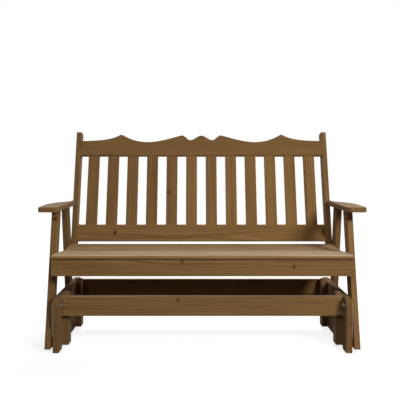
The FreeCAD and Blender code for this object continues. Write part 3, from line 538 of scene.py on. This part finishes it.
def addStarRecess(mesh, rim, depth):
    # a six-lobed recess, let into the open ring at the top of a head
    ring = [edge for edge in mesh.edges
            if edge.is_boundary and all(abs(vert.co.z) < fasteners["weld"] for vert in edge.verts)]
    star = bmesh.ops.create_circle(mesh, cap_ends=False, segments=fasteners["roundSteps"],
                                   radius=rim * fasteners["starShare"])["verts"]
    inner = [vert for index, vert in enumerate(star) if index % 4 > 1]
    bmesh.ops.scale(mesh, vec=(fasteners["starHollow"], fasteners["starHollow"], 1.0), verts=inner)
    edges = list({edge for vert in star for edge in vert.link_edges})
    bmesh.ops.bridge_loops(mesh, edges=ring + edges)
    deeper = bmesh.ops.extrude_edge_only(mesh, edges=edges)["geom"]
    bottom = [part for part in deeper if isinstance(part, bmesh.types.BMVert)]
    bmesh.ops.translate(mesh, vec=(0, 0, -depth), verts=bottom)
    floor = [edge for edge in mesh.edges if all(vert in bottom for vert in edge.verts)]
    bmesh.ops.contextual_create(mesh, geom=floor)


# each fastener is made once, upright, with the top of its head at the origin

def makeScrew(mesh, length, wide):
    head, point = fasteners["screwHead"], fasteners["screwPoint"]
    shank, rim = wide * fasteners["screwShare"], wide * fasteners["recessShare"]
    core = shank - fasteners["threadDepth"] / 2
    roundDepth, roundWidth = fasteners["headRound"]
    addTurned(mesh, [(-length, 0), (point - length, core), (-head, core), (-head, wide),
                     (-head * fasteners["headEdge"], wide), (-head * roundDepth, wide * roundWidth),
                     (0, rim)])
    addStarRecess(mesh, rim, head * fasteners["recessDepth"])
    addThread(mesh, point - length, -head, shank, fasteners["screwPitch"])


def addShank(mesh, length, head, shoulder):
    # the plain shoulder under the head, if any, then the threaded end
    radius, depth, wide = fasteners["boltRadius"], fasteners["threadDepth"], fasteners["shoulderRadius"]
    profile = [(-length, 0), (-length, radius - 2 * depth), (depth * 2 - length, radius - depth),
               (-head - shoulder, radius - depth)]
    if shoulder:
        profile += [(-head - shoulder, wide), (-head / 2, wide)]
    addTurned(mesh, profile + [(-head / 2, 0)])
    addThread(mesh, depth * 2 - length, -head - shoulder, radius, fasteners["boltPitch"])


def makePivotBolt(mesh, length, wide):
    head = fasteners["hexHead"]
    addHexagon(mesh, -head, wide, head)
    addShank(mesh, length, head, fasteners["shoulderLength"])


def makeDomedBolt(mesh, length, wide):
    head, steps = fasteners["domeHead"], fasteners["domeSteps"]
    angles = [math.radians(90 * step / steps) for step in range(steps)]
    dome = [(head * math.sin(angle) - head, wide * math.cos(angle)) for angle in angles]
    addTurned(mesh, [(-head, 0)] + dome + [(0, 0)])
    addShank(mesh, length, head, 0)


def makeNut(mesh, thick, wide):
    flange, (collar, collarShare) = fasteners["flange"], fasteners["collar"]
    addTurned(mesh, [(-thick, 0), (-thick, wide), (flange * fasteners["flangeEdge"] - thick, wide),
                     (flange - thick, wide * fasteners["flangeSlope"]),
                     (flange * collar - thick, wide * collarShare), (flange * collar - thick, 0)])
    addHexagon(mesh, flange - thick, wide * fasteners["hexShare"], thick - flange)


def setCopies(mesh, maker, parts, axes, materialIndex=0):
    made = {}
    for (low, high), axis in zip(parts, axes):
        middle, half = (low + high) / 2, (high - low) / 2
        reach = sum(abs(axis[way]) * half[way] for way in range(3))
        wide = max(half[way] for way in range(3) if abs(axis[way]) < 0.5)
        key = (round(reach, 5), round(wide, 5))
        if key not in made:
            single = bmesh.new()
            maker(single, reach * 2, wide)
            bmesh.ops.remove_doubles(single, verts=single.verts, dist=fasteners["weld"])
            bmesh.ops.recalc_face_normals(single, faces=single.faces)
            made[key] = bpy.data.meshes.new("single")
            single.to_mesh(made[key])
            single.free()
        copy = made[key].copy()
        turn = axis.to_track_quat("Z", "X").to_matrix().to_4x4()
        copy.transform(Matrix.Translation(middle + axis * reach) @ turn)
        copy.polygons.foreach_set("material_index", [materialIndex] * len(copy.polygons))
        mesh.from_mesh(copy)
        bpy.data.meshes.remove(copy)
    for single in made.values():
        bpy.data.meshes.remove(single)


def finishFasteners(name, mesh, body, materials):
    data = bpy.data.meshes.new(name)
    mesh.to_mesh(data)
    mesh.free()
    data.shade_smooth()
    data.set_sharp_from_angle(angle=math.radians(fasteners["sharpDegrees"]))
    for material in materials:
        data.materials.append(material)
    piece = bpy.data.objects.new(name, data)
    bpy.context.scene.collection.objects.link(piece)
    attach(piece, body)
    return piece


def outward(part, way):
    axis = Vector((0, 0, 0))
    axis[way] = math.copysign(1, part[0][way] + part[1][way])
    return axis


def makeStretcherScrews():
    mesh = bmesh.new()
    parts = looseParts("base_screws")
    setCopies(mesh, makeScrew, parts, [outward(part, 1) for part in parts])
    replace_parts(finishFasteners("stretcherScrews", mesh, "base", [dullZinc]), "base_screws")


def makePivotBolts(name, node, body, headSide, finish):
    mesh = bmesh.new()
    parts = looseParts(node)
    long = [part for part in parts if part[1].x - part[0].x > part[1].z - part[0].z]
    short = [part for part in parts if part not in long]
    setCopies(mesh, makePivotBolt, long, [outward(part, 0) * headSide for part in long])
    setCopies(mesh, makeNut, short, [outward(part, 0) * -headSide for part in short])
    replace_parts(finishFasteners(name, mesh, body, [finish]), node)


def makeSeatFasteners():
    mesh = bmesh.new()
    parts = looseParts("seat_fasteners")
    apron = [part for part in parts if part[1].y - part[0].y > part[1].x - part[0].x]
    nuts = [part for part in parts if part[1].x - part[0].x < part[1].z - part[0].z and part not in apron]
    long = [part for part in parts if part not in apron + nuts]
    arms = [part for part in long if part[0].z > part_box("seat_slat_1")[1].z]
    bolts = [part for part in long if part not in arms]
    setCopies(mesh, makeScrew, apron, [Vector((0, -1, 0))] * len(apron), 1)
    setCopies(mesh, makeScrew, arms, [-outward(part, 0) for part in arms])
    setCopies(mesh, makeDomedBolt, bolts, [outward(part, 0) for part in bolts])
    setCopies(mesh, makeNut, nuts, [-outward(part, 0) for part in nuts])
    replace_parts(finishFasteners("seatBolts", mesh, "seat", [zinc, coated]), "seat_fasteners")


makeStretcherScrews()
makePivotBolts("upperPivotBolts", "upper_pivot_bolts", "base", 1, dullZinc)
makePivotBolts("lowerPivotBolts", "lower_pivot_bolts", "seat", -1, zinc)
makeSeatFasteners()
print("fasteners made")


# Floor, light and background

studio = {
    "floorGray": 0.12,             # the floor as the bench's underside sees it
    "floorSize": 24.0,
    "floorShare": 0.82,            # share of plain white that the camera sees near the bench
    "floorPaper": 0.34,            # the rest of it, which takes the bench's shadow
    "fadeStart": 1.2,              # the floor turns plain white from here outwards
    "fadeEnd": 3.4,
    "worldGray": (0.86, 0.93, 1.0),
    "worldStrength": 0.08,
    "lampAim": (0.0, 0.0, 0.6),
    "lamps": {  # place, width and power of each soft lamp
        "keyLamp": ((2.41, -3.44, 2.42), 1.1, 128.0),
        "frontLamp": ((0.0, -3.44, 2.96), 2.0, 34.0),
        "leftLamp": ((-2.16, -3.74, 2.12), 2.0, 14.0),
        "rearLamp": ((0.2, 2.4, 2.8), 2.4, 100.0),
    },
}


def seenShare(tree):
    path = addNode(tree, "LightPath").outputs
    share = calc(tree, "MAXIMUM", path["Is Camera Ray"], path["Is Glossy Ray"])
    return calc(tree, "MAXIMUM", share, path["Is Transmission Ray"])


def addFloor():
    bpy.ops.mesh.primitive_plane_add(size=studio["floorSize"], location=(0, 0, 0))
    floor = bpy.context.object
    floor.name = "studioFloor"
    material = bpy.data.materials.new("studioFloor")
    material.use_nodes = True
    tree = material.node_tree
    tree.nodes.clear()
    spot = addNode(tree, "TexCoord").outputs["Object"]
    away = addNode(tree, "VectorMath", {0: spot}, operation="LENGTH").outputs["Value"]
    glow = remap(tree, away, studio["fadeStart"], studio["fadeEnd"], studio["floorShare"], 1.0, smooth=True)
    gray, paperGray = studio["floorGray"], studio["floorPaper"]
    matte = addNode(tree, "BsdfDiffuse", {"Color": (gray, gray, gray, 1.0)})
    paper = addNode(tree, "BsdfDiffuse", {"Color": (paperGray, paperGray, paperGray, 1.0)})
    white = addNode(tree, "Emission", {"Color": (1, 1, 1, 1), "Strength": glow})
    seen = addNode(tree, "AddShader", {0: paper.outputs[0], 1: white.outputs[0]})
    mixed = addNode(tree, "MixShader", {0: seenShare(tree), 1: matte.outputs[0], 2: seen.outputs[0]})
    addNode(tree, "OutputMaterial", {0: mixed.outputs[0]})
    floor.data.materials.append(material)


def addWorld():
    world = bpy.data.worlds.new("studio")
    bpy.context.scene.world = world
    world.use_nodes = True
    tree = world.node_tree
    tree.nodes.clear()
    sky = addNode(tree, "Background", {
        "Color": studio["worldGray"] + (1.0,), "Strength": studio["worldStrength"],
    })
    white = addNode(tree, "Background", {"Color": (1, 1, 1, 1), "Strength": 1.0})
    mixed = addNode(tree, "MixShader", {0: seenShare(tree), 1: sky.outputs[0], 2: white.outputs[0]})
    addNode(tree, "OutputWorld", {0: mixed.outputs[0]})


def addLamp(name, place, size, power):
    lamp = bpy.data.lights.new(name, "AREA")
    lamp.shape = "DISK"
    lamp.size = size
    lamp.energy = power
    lampObject = bpy.data.objects.new(name, lamp)
    lampObject.location = place
    aim = Vector(studio["lampAim"]) - Vector(place)
    lampObject.rotation_euler = aim.to_track_quat("-Z", "Y").to_euler()
    bpy.context.scene.collection.objects.link(lampObject)


addFloor()
addWorld()
for name, (place, size, power) in studio["lamps"].items():
    addLamp(name, place, size, power)
bpy.context.scene.view_settings.view_transform = "Standard"
print("studio set")
